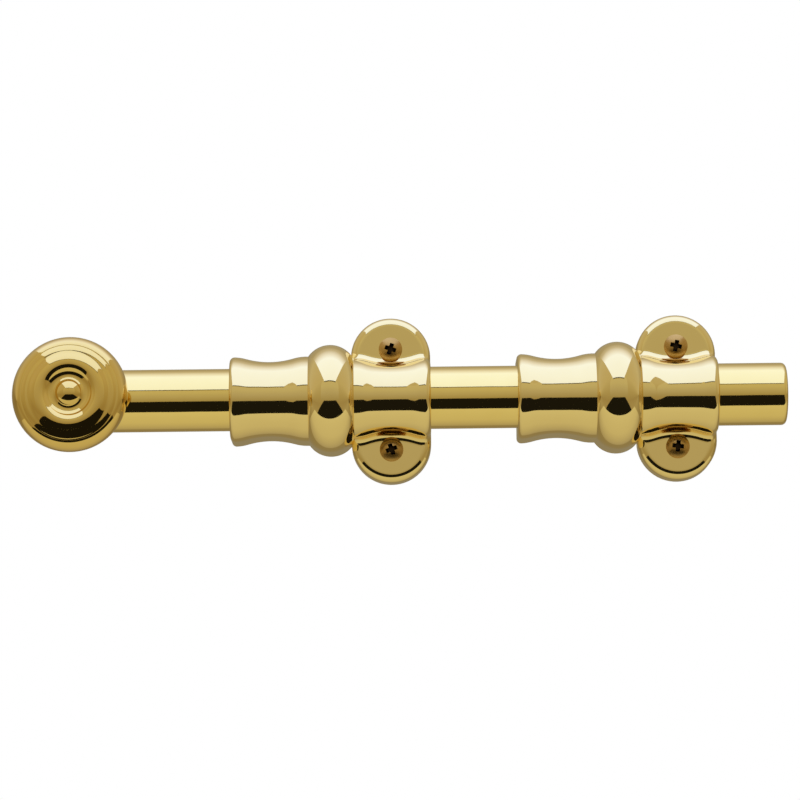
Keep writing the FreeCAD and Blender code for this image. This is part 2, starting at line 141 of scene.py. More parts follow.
class Wiring:
    """Adds nodes to a tree and links them in one call"""

    def __init__(self, tree):
        self.tree = tree

    def add(self, kind, links=None, **settings):
        node = self.tree.nodes.new(kind)
        for name, value in settings.items():
            setattr(node, name, value)
        for label, source in (links or {}).items():
            socket = node.inputs[label]
            if isinstance(source, bpy.types.NodeSocket):
                self.tree.links.new(source, socket)
            else:
                socket.default_value = source
        return node

    def math(self, operation, *terms, clamp=False):
        links = dict(enumerate(terms))
        return self.add("ShaderNodeMath", links, operation=operation, use_clamp=clamp).outputs[0]


def run_tree(source, tree, values):
    """Put a tree on an object, set its inputs by name and give back the plain mesh that it makes"""
    modifier = source.modifiers.new(tree.name, "NODES")
    modifier.node_group = tree
    for item in tree.interface.items_tree:
        if item.in_out == "INPUT" and item.name in values:
            modifier[item.identifier] = values[item.name]
    ready = source.evaluated_get(bpy.context.evaluated_depsgraph_get())
    mesh = bpy.data.meshes.new_from_object(ready)
    source.modifiers.remove(modifier)
    return mesh


print("tree helpers ready")

# %% Build the sweep tree
GRID_WELD = 1e-6


def build_sweep_tree():
    """Profile mesh in, swept skin out"""
    tree = new_group("profile_sweep", "GeometryNodeTree", (
        GEOMETRY,
        ("Arc Columns", "NodeSocketInt", 96),
        ("Side Columns", "NodeSocketInt", 0),
        ("Turn", "NodeSocketFloat", 2 * math.pi),
        ("Back", "NodeSocketFloat", 0.0),
        ("Material", "NodeSocketMaterial"),
    ), (GEOMETRY,))
    wire = Wiring(tree)
    given = wire.add("NodeGroupInput").outputs
    count = wire.add("GeometryNodeAttributeDomainSize", {"Geometry": given["Geometry"]}, component="MESH")
    rows = count.outputs["Point Count"]
    sides = wire.math("MULTIPLY", given["Side Columns"], 2.0)
    columns = wire.math("ADD", wire.math("ADD", given["Arc Columns"], sides), 1.0)
    grid = wire.add("GeometryNodeMeshGrid", {"Vertices X": rows, "Vertices Y": columns})
    index = wire.add("GeometryNodeInputIndex").outputs[0]
    row = wire.math("FLOOR", wire.math("DIVIDE", wire.math("ADD", index, 0.5), columns))
    column = wire.math("SUBTRACT", index, wire.math("MULTIPLY", row, columns))
    sample = wire.add("GeometryNodeSampleIndex", data_type="FLOAT_VECTOR", domain="POINT")
    tree.links.new(given["Geometry"], sample.inputs["Geometry"])
    tree.links.new(wire.add("GeometryNodeInputPosition").outputs[0], sample.inputs["Value"])
    tree.links.new(row, sample.inputs["Index"])
    point = wire.add("ShaderNodeSeparateXYZ", {0: sample.outputs["Value"]}).outputs
    along = wire.math("SUBTRACT", column, given["Side Columns"])
    share = wire.math("DIVIDE", along, given["Arc Columns"], clamp=True)
    angle = wire.math("MULTIPLY", wire.math("SUBTRACT", share, 0.5), given["Turn"])
    before = wire.math("MULTIPLY", along, -1.0)
    after = wire.math("SUBTRACT", along, given["Arc Columns"])
    past = wire.math("MAXIMUM", wire.math("MAXIMUM", before, after), 0.0)
    side_share = wire.math("DIVIDE", past, given["Side Columns"])
    back = wire.math("MULTIPLY", side_share, given["Back"])
    front = wire.math("MULTIPLY", point["Z"], wire.math("COSINE", angle))
    spot = wire.add("ShaderNodeCombineXYZ", {
        "X": point["X"],
        "Y": wire.math("SUBTRACT", back, front),
        "Z": wire.math("MULTIPLY", point["Z"], wire.math("SINE", angle)),
    })
    moved = wire.add("GeometryNodeSetPosition",
                     {"Geometry": grid.outputs["Mesh"], "Position": spot.outputs[0]})
    merged = wire.add("GeometryNodeMergeByDistance", {"Geometry": moved.outputs[0], "Distance": GRID_WELD})
    real = wire.add("GeometryNodeRealizeInstances", {"Geometry": merged.outputs[0]})
    dressed = wire.add("GeometryNodeSetMaterial",
                       {"Geometry": real.outputs[0], "Material": given["Material"]})
    wire.add("NodeGroupOutput", {0: dressed.outputs[0]})
    return tree


sweep_tree = build_sweep_tree()
print("sweep tree nodes:", len(sweep_tree.nodes))

# %% [markdown]
# ## From profile to closed skin
# The tree gives an open or closed skin whose faces may point inwards. A short clean-up merges doubles,
# closes any open rim with a flat face and turns all normals outwards, as every solid needs.

# %% Helpers for solids
SKIN_WELD, CUT_WELD = 1e-7, 1e-6


def weld(shape, reach):
    """Merge points that are nearer to each other than the reach, and drop what has no size then"""
    bmesh.ops.remove_doubles(shape, verts=shape.verts, dist=reach)
    bmesh.ops.dissolve_degenerate(shape, edges=shape.edges, dist=reach / 10)


def close_skin(mesh):
    """Merge doubles, close open rims and point the faces outwards"""
    shape = bmesh.new()
    shape.from_mesh(mesh)
    weld(shape, SKIN_WELD)
    rim = [edge for edge in shape.edges if edge.is_boundary]
    if rim:
        bmesh.ops.edgeloop_fill(shape, edges=rim)
    bmesh.ops.recalc_face_normals(shape, faces=shape.faces)
    shape.to_mesh(mesh)
    shape.free()


def sweep(line, material, arc_columns=96, side_columns=0, turn=2 * math.pi, back=0.0):
    """Sweep a profile of (along, radius) points into a closed mesh with outward faces"""
    thread = bpy.data.meshes.new("profile_line")
    thread.from_pydata([(x, 0.0, r) for x, r in line], [(i, i + 1) for i in range(len(line) - 1)], [])
    carrier = bpy.data.objects.new("profile_carrier", thread)
    scene.collection.objects.link(carrier)
    mesh = run_tree(carrier, sweep_tree, {
        "Arc Columns": arc_columns, "Side Columns": side_columns, "Turn": turn, "Back": back,
        "Material": material,
    })
    bpy.data.objects.remove(carrier)
    close_skin(mesh)
    # The tree leaves an empty material slot before its own, so the slots are laid out again
    mesh.materials.clear()
    mesh.polygons.foreach_set("material_index", [0] * len(mesh.polygons))
    if material:
        mesh.materials.append(material)
    return mesh


def place(mesh, matrix):
    """Move a mesh's own points; its object stays at the origin"""
    mesh.transform(matrix)
    if matrix.determinant() < 0:
        mesh.flip_normals()
    return mesh


def as_object(name, mesh):
    """Show a mesh under a name"""
    mesh.name = name
    item = bpy.data.objects.new(name, mesh)
    scene.collection.objects.link(item)
    return item


print("helpers for solids ready")

# %% Helpers for cutting and joining


def as_mesh(name, shape, material=None):
    """Turn bmesh work into a mesh with at most one material"""
    mesh = bpy.data.meshes.new(name)
    shape.to_mesh(mesh)
    shape.free()
    if material:
        mesh.materials.append(material)
    return mesh


def ring_skin(name, rings, material):
    """A closed skin over rings of points in millimetres, with a flat face on the first and the last"""
    shape = bmesh.new()
    rows = [[shape.verts.new(spot * MM) for spot in ring] for ring in rings]
    for row, following in zip(rows, rows[1:]):
        for column in range(len(row)):
            after = (column + 1) % len(row)
            shape.faces.new((row[column], row[after], following[after], following[column]))
    shape.faces.new(rows[0])
    shape.faces.new(rows[-1])
    bmesh.ops.recalc_face_normals(shape, faces=shape.faces)
    return as_mesh(name, shape, material)


def box_mesh(low, high):
    """A plain block between two corners, used as a cutting tool"""
    shape = bmesh.new()
    bmesh.ops.create_cube(shape, size=1.0)
    span = Vector(high) - Vector(low)
    middle = (Vector(high) + Vector(low)) / 2
    spread = Matrix.Translation(middle) @ Matrix.Diagonal((*span, 1.0))
    bmesh.ops.transform(shape, matrix=spread, verts=shape.verts)
    return as_mesh("block", shape)


def cut(mesh, tools, operation="DIFFERENCE"):
    """Cut tool meshes out of a solid, or unite them with it, and give back the plain result"""
    body = as_object("blank", mesh)
    for number, tool in enumerate(tools):
        cutter = as_object(f"tool_{number}", tool)
        step = body.modifiers.new(f"cut_{number}", "BOOLEAN")
        step.object = cutter
        step.operation = operation
        step.solver = "EXACT"
    ready = body.evaluated_get(bpy.context.evaluated_depsgraph_get())
    result = bpy.data.meshes.new_from_object(ready)
    for step in list(body.modifiers):
        bpy.data.objects.remove(step.object)
    bpy.data.objects.remove(body)
    shape = bmesh.new()
    shape.from_mesh(result)
    weld(shape, CUT_WELD)
    shape.to_mesh(result)
    shape.free()
    return result


def joined(name, meshes):
    """Join closed meshes into one"""
    shape = bmesh.new()
    for mesh in meshes:
        shape.from_mesh(mesh)
    result = as_mesh(name, shape)
    for mesh in meshes:
        for material in mesh.materials:
            if material and material.name not in result.materials:
                result.materials.append(material)
    return result


print("helpers for cutting and joining ready")

# %% [markdown]
# ## What every finished piece gets
# A cast or turned form is smooth along its curves and has a real edge only where two faces meet at a
# clear angle. Weighted normals let the large flat faces lead the shading, so that a flat stays a flat
# mirror beside a tight curve. Each piece then rides on a body and stands for its solids.

# %% Helpers for finished pieces
SHARP_ANGLE = math.radians(28)
FLAT_FACE_WEIGHT = 60


def sharpen(mesh):
    """Shade smoothly, but keep an edge wherever two faces meet at more than the sharp angle"""
    shape = bmesh.new()
    shape.from_mesh(mesh)
    for face in shape.faces:
        face.smooth = True
    for edge in shape.edges:
        edge.smooth = edge.is_manifold and edge.calc_face_angle(0.0) < SHARP_ANGLE
    shape.to_mesh(mesh)
    shape.free()
    return mesh


def finish_piece(name, mesh, body, slot, *nodes):
    """Show a finished mesh, let flat faces lead its shading, and hang it on its body"""
    item = as_object(name, sharpen(mesh))
    lead = item.modifiers.new("flat_faces_lead", "WEIGHTED_NORMAL")
    lead.mode = "FACE_AREA"
    lead.weight = FLAT_FACE_WEIGHT
    lead.keep_sharp = True
    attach(item, body)
    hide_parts(*nodes)
    print(f"{name}: {len(mesh.polygons)} faces")


print("sharp angle in degrees:", round(math.degrees(SHARP_ANGLE)))

# %% [markdown]
# ## The finishes
# Polished brass under clear lacquer is a metal with a low roughness. Nobody polishes a casting to a
# perfect surface, so its mirror image wobbles: a broad, shallow wave in the normal does that. A faint
# change of tint, where the lacquer has aged, keeps the metal from looking like paint. Both effects are
# wanted on every brass piece, so they live in one shader group with its own inputs, and the shader
# itself stays in the material. Brackets, rod and knob each have a brass of their own, because castings,
# drawn bar and turned stock are seldom quite the same alloy: the rod's is a little yellower, and the
# knob's is darker and redder. The screws are duller, and a dark patina with painted shade sits in the
# recesses of the four that hold the brackets.

# %% Build the shared shader group
TINT_CLOUDS, GLOSS_SPECKS, FINE_GRAIN = 150.0, 600.0, 1800.0


def build_polish_group():
    """Tint, roughness and wobble of hand-polished metal, from the place on the object"""
    group = new_group("polished_metal", "ShaderNodeTree", (
        ("Tint", "NodeSocketColor", (0.8, 0.6, 0.3, 1.0)),
        ("Aged Tint", "NodeSocketColor", (0.7, 0.5, 0.25, 1.0)),
        ("Ageing", "NodeSocketFloat", 0.45),
        ("Gloss", "NodeSocketFloat", 0.035),
        ("Gloss Change", "NodeSocketFloat", 0.03),
        ("Wave Size", "NodeSocketFloat", 160.0),
        ("Wave Depth", "NodeSocketFloat", 2e-5),
        ("Grain Depth", "NodeSocketFloat", 5e-7),
    ), (("Color", "NodeSocketColor"), ("Roughness", "NodeSocketFloat"), ("Normal", "NodeSocketVector")))
    wire = Wiring(group)
    given = wire.add("NodeGroupInput").outputs
    spot = wire.add("ShaderNodeTexCoord").outputs["Object"]

    def noise(scale, detail):
        return wire.add("ShaderNodeTexNoise", {"Vector": spot, "Scale": scale, "Detail": detail}).outputs[0]

    mask = wire.math("MULTIPLY", noise(TINT_CLOUDS, 4.0), given["Ageing"])
    tint = wire.add("ShaderNodeMixRGB", {0: mask, 1: given["Tint"], 2: given["Aged Tint"]}).outputs[0]
    change = wire.math("MULTIPLY", noise(GLOSS_SPECKS, 2.0), given["Gloss Change"])
    rough = wire.math("ADD", given["Gloss"], change)
    wobble = wire.add("ShaderNodeBump", {
        "Height": noise(given["Wave Size"], 1.0), "Strength": 1.0, "Distance": given["Wave Depth"]})
    fine = wire.add("ShaderNodeBump", {
        "Height": noise(FINE_GRAIN, 2.0), "Strength": 1.0, "Distance": given["Grain Depth"],
        "Normal": wobble.outputs[0]})
    wire.add("NodeGroupOutput", {"Color": tint, "Roughness": rough, "Normal": fine.outputs[0]})
    return group


polish_group = build_polish_group()
print("shader group:", polish_group.name, len(polish_group.nodes), "nodes")

# %% Make the metals
LACQUER_ROUGHNESS = 0.03


def metal(name, tint, aged_tint, surface, lacquer=0.0):
    """A metal that takes its tint, roughness and wobble from the shared group"""
    material = bpy.data.materials.new(name)
    material.use_nodes = True
    wire = Wiring(material.node_tree)
    shader = material.node_tree.nodes["Principled BSDF"]
    shader.inputs["Metallic"].default_value = 1.0
    shader.inputs["Coat Weight"].default_value = lacquer
    shader.inputs["Coat Roughness"].default_value = LACQUER_ROUGHNESS
    tints = {"Tint": (*tint, 1.0), "Aged Tint": (*aged_tint, 1.0)}
    polish = wire.add("ShaderNodeGroup", {**tints, **surface}, node_tree=polish_group)
    for source, target in (("Color", "Base Color"), ("Roughness", "Roughness"), ("Normal", "Normal")):
        material.node_tree.links.new(polish.outputs[source], shader.inputs[target])
    return material


MIRROR_POLISH = {"Ageing": 0.45, "Gloss": 0.035, "Gloss Change": 0.03,
                 "Wave Size": 160.0, "Wave Depth": 2e-5, "Grain Depth": 5e-7}
polished_brass = metal("polished_brass", (0.88, 0.69, 0.28), (0.80, 0.60, 0.22), MIRROR_POLISH, lacquer=0.5)
rod_brass = metal("rod_brass", (0.90, 0.69, 0.23), (0.82, 0.60, 0.18), MIRROR_POLISH, lacquer=0.5)
knob_brass = metal("knob_brass", (0.80, 0.56, 0.14), (0.70, 0.46, 0.10), MIRROR_POLISH, lacquer=1.0)
screw_brass = metal("screw_brass", (0.62, 0.38, 0.11), (0.42, 0.23, 0.055), {
    "Ageing": 0.9, "Gloss": 0.27, "Gloss Change": 0.08,
    "Wave Size": 500.0, "Wave Depth": 1e-5, "Grain Depth": 5e-7})
# The recess colour is a dark patina with painted shade: nearly black, so that the deep cross recess looks
# shaded
recess_shade_and_patina = metal("recess_shade_and_patina", (0.05, 0.03, 0.015), (0.025, 0.015, 0.008), {
    "Ageing": 0.9, "Gloss": 0.45, "Gloss Change": 0.1,
    "Wave Size": 500.0, "Wave Depth": 1e-5, "Grain Depth": 2e-6})
pin_brass = metal("pin_brass", (0.74, 0.54, 0.27), (0.60, 0.42, 0.2), {
    "Ageing": 0.6, "Gloss": 0.2, "Gloss Change": 0.08,
    "Wave Size": 500.0, "Wave Depth": 1e-5, "Grain Depth": 2e-6})
spring_steel = metal("spring_steel", (0.60, 0.60, 0.58), (0.42, 0.40, 0.37), {
    "Ageing": 0.7, "Gloss": 0.25, "Gloss Change": 0.1,
    "Wave Size": 400.0, "Wave Depth": 1e-5, "Grain Depth": 3e-6})
finishes = (polished_brass, rod_brass, knob_brass, screw_brass, recess_shade_and_patina, pin_brass, spring_steel)
print("materials:", [finish.name for finish in finishes])

# %% [markdown]
# ## The bolt rod
# The rod is plain bar stock: a profile with two eased ends, turned once round. A flat is milled along
# the side that faces the door, so a block is cut away there, and the knob's screw and the stop pin get
# their holes. A cutting tool always reaches past the surface that it cuts, because two faces in one
# plane leave a boolean no clear answer.

# %% Turn the rod
ROD_EASE = 1.3
FLAT_DEPTH, FLAT_INSET = 1.0, 2.0
FLAT_Y = ROD_R - FLAT_DEPTH
OVERCUT = 1.0
PIN_R, PIN_PLAY, PIN_HOLE_DEPTH = 2.0, 0.02, 5.0
FIXING_R, FIXING_HEAD_R, FIXING_PLAY = 2.0, 3.8, 0.05
FIXING_RIM, FIXING_CONE = FLAT_Y - 0.3, FLAT_Y - 2.2


def along_x(mesh, x=0.0):
    """Put a mesh that was turned about X on the rod's axis"""
    return place(mesh, Matrix.Translation((x, axis_y, 0.0)))


def along_y(mesh, x, z=0.0, y=0.0):
    """Turn a mesh that was turned about X so that it points into the door, and put it in place"""
    return place(mesh, Matrix.Translation((x, y, z)) @ Matrix.Rotation(math.pi / 2, 4, "Z"))


def turned_tool(corners, x, z=0.0, y=0.0):
    """A cutting tool that is turned about an axis square to the door"""
    return along_y(sweep(profile(corners), None, arc_columns=64), x, z, y)


rod_tip, rod_tail = tip_x / MM, tail_x / MM
rod_line = profile([
    (rod_tip, 0.0), (rod_tip, ROD_R - ROD_EASE, ROD_EASE), (rod_tip - ROD_EASE, ROD_R),
    (rod_tail + ROD_EASE, ROD_R, ROD_EASE), (rod_tail, ROD_R - ROD_EASE), (rod_tail, 0.0)])
rod_mesh = along_x(sweep(rod_line, rod_brass, arc_columns=192))
flat_end = bracket_x["front"] + (FLANGE_HALF - FLAT_INSET) * MM
past_rod = (ROD_R + OVERCUT) * MM
flat_tool = box_mesh((tail_x - OVERCUT * MM, axis_y + FLAT_Y * MM, -past_rod),
                     (flat_end, axis_y + past_rod, past_rod))
fixing_hole = turned_tool([
    (-ROD_R - OVERCUT, 0.0), (-ROD_R - OVERCUT, FIXING_R + FIXING_PLAY),
    (FIXING_CONE, FIXING_R + FIXING_PLAY), (FIXING_RIM, FIXING_HEAD_R + FIXING_PLAY),
    (FLAT_Y + OVERCUT, FIXING_HEAD_R + FIXING_PLAY), (FLAT_Y + OVERCUT, 0.0)], knob_x, y=axis_y)
pin_hole = turned_tool(cylinder(FLAT_Y - PIN_HOLE_DEPTH, FLAT_Y + OVERCUT, PIN_R + PIN_PLAY), pin_x, y=axis_y)
finish_piece("bolt_rod_bar", cut(rod_mesh, [flat_tool, fixing_hole, pin_hole]),
             "bolt", "polished_brass", "bolt_rod")

# %% [markdown]
# ## The brackets
# Each bracket is one casting. Its long outline has a barrel with a hollow waist, a round bulb, and a
# collar that is hollow like the barrel. The curves of waist and crests flow into each other, so they
# are built as circles that touch, and the bulb cuts them in two sharp creases. The sweep takes this
# outline half round the front and straight back to the door. The flange is a plate with round ears
# whose front edge is rounded over. It is united with the swept body first, because both lie on the
# door and two skins in one plane render as stripes. The bore, the spring's window and the screw seats
# are then cut out of the whole. Last comes the small hollow that a founder leaves at the collar's foot:
# a strip on each side joins the collar's wall to the flange and follows the flange's rounded edge.

# %% Draw the bracket's outline
BARREL_PLACE, BARREL_REACH = -30.8, 10.1
BULB_PLACE, BULB_APEX, BULB_CURVE = -15.4, 13.75, 6.8
BARREL = {"place": BARREL_PLACE, "waist": 9.56, "hollow": 22.0, "crest": 11.9, "spread": 9.3}
COLLAR = {"place": 0.0, "waist": 8.6, "hollow": 19.3, "crest": 10.3, "spread": 9.3}
BARREL_EASE, COLLAR_EASE = 1.2, 1.6


def ogee(place, waist, hollow, crest, spread):
    """Circles of a hollow waist between two crests, as (centre, radius)"""
    drop = math.sqrt((hollow + crest) ** 2 - spread ** 2)
    top = waist + hollow
    crests = [(Vector((place + way * spread, top - drop)), crest) for way in (-1, 1)]
    return [crests[0], (Vector((place, top)), hollow), crests[1]]


def meeting(first, second):
    """The outer point where two circles cross or touch"""
    (near, near_radius), (far, far_radius) = first, second
    way = far - near
    along = (way.length ** 2 + near_radius ** 2 - far_radius ** 2) / (2 * way.length)
    side = Vector((-way.y, way.x)).normalized()
    side = side if side.y > 0 else -side
    return near + way.normalized() * along + side * math.sqrt(max(near_radius ** 2 - along ** 2, 0.0))


def eased(edge, way, radius, crest):
    """The small circle that rounds an end edge over into a crest"""
    across = edge - way * radius
    centre, crest_radius = crest
    rise = math.sqrt((crest_radius - radius) ** 2 - (across - centre.x) ** 2)
    return Vector((across, centre.y + rise)), radius


def touching(small, large):
    """The point where a small circle touches a large one from inside"""
    return large[0] + (small[0] - large[0]).normalized() * large[1]


def bracket_outline():
    """The bracket's outline from its left end to its right end, as points in metres"""
    barrel, collar = ogee(**BARREL), ogee(**COLLAR)
    bulb = (Vector((BULB_PLACE, BULB_APEX - BULB_CURVE)), BULB_CURVE)
    left, right = BARREL_PLACE - BARREL_REACH, FLANGE_HALF
    left_ease = eased(left, -1, BARREL_EASE, barrel[0])
    right_ease = eased(right, 1, COLLAR_EASE, collar[2])
    swells = [*barrel, bulb, *collar]
    corners = [
        Vector((left, left_ease[0].y)), touching(left_ease, barrel[0]),
        *[meeting(a, b) for a, b in zip(swells, swells[1:])],
        touching(right_ease, collar[2]), Vector((right, right_ease[0].y))]
    hollows = (barrel[1], collar[1])
    bends = [circle[1] if circle in hollows else -circle[1] for circle in (left_ease, *swells, right_ease)]
    bent = [(*corner, bend) for corner, bend in zip(corners, bends)]
    return profile([(left, 0.0), *bent, corners[-1], (right, 0.0)])


outline_points = bracket_outline()
print("bracket outline points:", len(outline_points))

# %% Shape the screw flange
EAR_SPREAD = 22.1
FLANGE_FRONT = -7.0
FLANGE_EDGE = 2.2
EDGE_STEPS, EAR_COLUMNS = 16, 96
ROWS_INSIDE_EDGE = (0.1, 0.4)


def plate_with_ears():
    """The screw flange: a plate with round ears and a rounded front edge, lying on the door"""
    rows = [(FLANGE_HALF, 0.0), (FLANGE_HALF, FLANGE_FRONT + FLANGE_EDGE)]
    for step in range(1, EDGE_STEPS + 1):
        angle = math.radians(90) * step / EDGE_STEPS
        rows.append((FLANGE_HALF - FLANGE_EDGE * (1 - math.cos(angle)),
                     FLANGE_FRONT + FLANGE_EDGE * (1 - math.sin(angle))))
    rows += [(FLANGE_HALF - FLANGE_EDGE - inside, FLANGE_FRONT) for inside in ROWS_INSIDE_EDGE]
    rings = []
    for radius, y in rows:
        ring = []
        for column in range(EAR_COLUMNS):
            angle = 2 * math.pi * (column + 0.5) / EAR_COLUMNS
            lift = EAR_SPREAD / 2 * (1 if math.sin(angle) > 0 else -1)
            ring.append(Vector((radius * math.cos(angle), y, radius * math.sin(angle) + lift)))
        rings.append(ring)
    return ring_skin("flange", rings, polished_brass)


def flange_front(x, z):
    """Height of the flange's front surface, which rounds over near its edge"""
    past = math.hypot(x, max(0.0, abs(z) - EAR_SPREAD / 2)) - (FLANGE_HALF - FLANGE_EDGE)
    past = min(max(past, 0.0), FLANGE_EDGE)
    return FLANGE_FRONT + FLANGE_EDGE - math.sqrt(FLANGE_EDGE ** 2 - past ** 2)


print("flange front mm:", [round(flange_front(x, 0.0), 2) for x in (0.0, FLANGE_HALF - 1, FLANGE_HALF)])

# %% Shape the hollow at the collar's foot
ROOT_ROUNDING = 2.2
ROOT_START, ROOT_END = -9.4, FLANGE_HALF - 0.01
ROOT_STEPS, ROOT_SUNK = 14, 0.3


def collar_root():
    """The hollow strip along one side of the collar's foot, from its wall down to the flange"""
    wall = [point / MM for point in outline_points if ROOT_START < point.x / MM < ROOT_END]
    rings = []
    for x, z in wall:
        radius = ROOT_ROUNDING * math.sqrt(min(1.0, (FLANGE_HALF - abs(x)) / FLANGE_EDGE))
        arc = [radius * step / ROOT_STEPS for step in range(ROOT_STEPS + 1)]
        rise = [radius - math.sqrt(max(radius ** 2 - (radius - out) ** 2, 0.0)) for out in arc]
        ring = [(z + out, flange_front(x, z + out) - up) for out, up in zip(arc, rise)]
        ring += [(z + radius, flange_front(x, z + radius) + ROOT_SUNK),
                 (z - ROOT_SUNK, flange_front(x, z) + ROOT_SUNK),
                 (z - ROOT_SUNK, flange_front(x, z) - radius)]
        rings.append([Vector((x, y, across)) for across, y in ring])
    return ring_skin("collar_root", rings, polished_brass)


print("collar's foot rounding mm:", ROOT_ROUNDING)

# %% Cast the brackets
BORE_PLAY = 0.06
BORE_START, BORE_END = -60, 30
WINDOW_PLACE, WINDOW_LENGTH, WINDOW_WIDTH = -24.9, 22.0, 6.0
SCREW_Z = 12.9
SEAT_TOP, SEAT_HOLE = 2.63, 1.8
HEAD_R, HEAD_PLAY = 3.0, 0.02
CONE_SLOPE = math.tan(math.radians(41))
seat_floor = FLANGE_FRONT + (SEAT_TOP - SEAT_HOLE) / CONE_SLOPE


def bracket_mesh(name):
    """One casting: the swept body and the flange, with bore, window and screw seats cut out"""
    x = bracket_x[name]
    body = along_x(sweep(outline_points, polished_brass, arc_columns=128, side_columns=10,
                         turn=math.pi, back=-axis_y), x)
    plate = place(plate_with_ears(), Matrix.Translation((x, 0, 0)))
    bore_line = profile(cylinder(BORE_START, BORE_END, ROD_R + BORE_PLAY))
    bore = along_x(sweep(bore_line, None, arc_columns=160), x)
    middle, half, wide = x + WINDOW_PLACE * MM, WINDOW_LENGTH / 2 * MM, WINDOW_WIDTH / 2 * MM
    window = box_mesh((middle - half, axis_y, -wide), (middle + half, 2 * OVERCUT * MM, wide))
    tools, roots = [bore, window], []
    for way in (1, -1):
        level = way * SCREW_Z * MM
        tools.append(turned_tool([
            (FLANGE_FRONT - OVERCUT, 0.0), (FLANGE_FRONT - OVERCUT, SEAT_TOP), (FLANGE_FRONT, SEAT_TOP),
            (seat_floor, SEAT_HOLE), (OVERCUT, SEAT_HOLE), (OVERCUT, 0.0)], x, level))
        mirror = Matrix.Translation((x, 0, 0)) @ Matrix.Diagonal((1, 1, way, 1))
        clearing = cylinder(FLANGE_FRONT - 3 * OVERCUT, FLANGE_FRONT + OVERCUT, HEAD_R + HEAD_PLAY)
        roots.append(cut(place(collar_root(), mirror), [turned_tool(clearing, x, level)]))
    casting = cut(cut(body, [plate], "UNION"), tools)
    return joined(f"{name}_bracket_casting", [casting, *roots])


for name in ("rear", "front"):
    finish_piece(f"{name}_bracket_casting", bracket_mesh(name),
                 "mounting", "polished_brass", f"{name}_bracket")

# %% [markdown]
# ## The knob
# The knob is one turning. Its face has a rounded rim, a groove, a broad bead, a raised ring, a bowl and a
# round nub, and each shows as its own ring of light and dark. The profile is drawn from the centre
# outwards and back down to the neck, whose foot is then saddled to fit the rod.

# %% Turn the knob
KNOB_PLANE = 14.0
NECK_R = 5.6
NUB_RADIUS, NUB_RISE, TOP_RISE = 3.133, 4.512, 5.842
nub_curve = (NUB_RADIUS ** 2 + (TOP_RISE - NUB_RISE) ** 2) / (2 * (TOP_RISE - NUB_RISE))
SADDLE_REACH, SADDLE_PLAY = 12, 0.02

# Each corner is its height above the widest rim, its radius, and the bend of the side after it
KNOB_CORNERS = (
    (TOP_RISE, 0.0, nub_curve), (NUB_RISE, NUB_RADIUS, -1.4), (4.084, 4.14, -2.347), (4.687, 5.710, 2.6),
    (5.355, 7.45, 4.077), (4.772, 9.55, -2.971), (4.387, 10.6, 3.168), (3.824, 11.95, 1.544),
    (3.533, 12.75, 4.367), (0.0, 14.55, 1.6), (-1.5, 12.95, -6.2),
    (-4.0, NECK_R), (-KNOB_PLANE, NECK_R), (-KNOB_PLANE, 0.0))
knob_line = profile([(KNOB_PLANE + rise, *rest) for rise, *rest in KNOB_CORNERS])
knob_mesh = sweep(knob_line, knob_brass, arc_columns=192)
place(knob_mesh, Matrix.Translation((knob_x, axis_y, 0)) @ Matrix.Rotation(-math.pi / 2, 4, "Z"))
saddle_line = profile(cylinder(-SADDLE_REACH, SADDLE_REACH, ROD_R + SADDLE_PLAY))
saddle = along_x(sweep(saddle_line, None, arc_columns=160), knob_x)
finish_piece("turned_knob", cut(knob_mesh, [saddle]), "bolt", "polished_brass", "knob")

# %% [markdown]
# ## The screws
# The four wood screws are alike: a low dome with a cross recess, a cone under it, a smooth shank and a
# pointed thread. One screw is made with care, and a small Geometry Nodes tree then sets copies of it on
# the four seats. A screwdriver never stops at the same angle twice, so each copy has its own turn.

# %% Cut and darken a cross recess
HEAD_PROUD, DOME = 0.45, 0.95
dome_curve = (HEAD_R ** 2 + DOME ** 2) / (2 * DOME)
WEDGE_TOP = -1.5
# Half a wedge's length and half its width, as shares of the reach and the width that it is given
TOP_REACH, TOP_WIDTH = 1.12, 0.55
FLOOR_REACH, FLOOR_WIDTH = 0.42, 0.32
# Where the recess's dark patina and painted shade lie: their reach from the axis, their depth under the dome,
# their floor
DARK_RECESS_REACH, DARK_RECESS_SKIN, DARK_RECESS_FLOOR = 2.2, 0.03, 0.35


def cross_recess(width, reach, depth):
    """Cutting tools for a cross recess: two wedges that narrow from their top to the floor"""
    tools = []
    for quarter in (0, 1):
        shape = bmesh.new()
        bmesh.ops.create_cube(shape, size=1.0)
        for vert in shape.verts:
            deep = vert.co.x > 0
            vert.co = Vector((
                (depth if deep else WEDGE_TOP),
                vert.co.y * 2 * reach * (FLOOR_REACH if deep else TOP_REACH),
                vert.co.z * 2 * width * (FLOOR_WIDTH if deep else TOP_WIDTH),
            )) * MM
        bmesh.ops.recalc_face_normals(shape, faces=shape.faces)
        tools.append(place(as_mesh("wedge", shape), Matrix.Rotation(math.pi / 2 * quarter, 4, "X")))
    return tools


def darken_recess(mesh):
    """Give the recess, whose faces lie under the dome and near the middle, its patina and painted shade"""
    centre = dome_curve - HEAD_PROUD - DOME
    mesh.materials.append(recess_shade_and_patina)
    for face in mesh.polygons:
        spot = face.center / MM
        out = math.hypot(spot.y, spot.z)
        skin = centre - math.sqrt(dome_curve ** 2 - min(out, HEAD_R) ** 2)
        # Faces inside the recess get the nearly black patina with painted shade
        if out < DARK_RECESS_REACH and skin + DARK_RECESS_SKIN < spot.x < DARK_RECESS_FLOOR:
            face.material_index = len(mesh.materials) - 1


print("dome curve mm:", round(dome_curve, 2))

# %% Make one screw
SHANK_R, THREAD_R = 1.75, 1.5
CONE_DEPTH = (HEAD_R - SHANK_R) / CONE_SLOPE
SCREW_REACH, POINT_LENGTH = 19.0, 4.0
THREAD_PITCH, THREAD_DEPTH = 1.27, 0.32
RIDGE_WIDTH, POINT_R = 0.22, 0.02
THREAD_COLUMNS, ROWS_PER_TURN = 32, 12


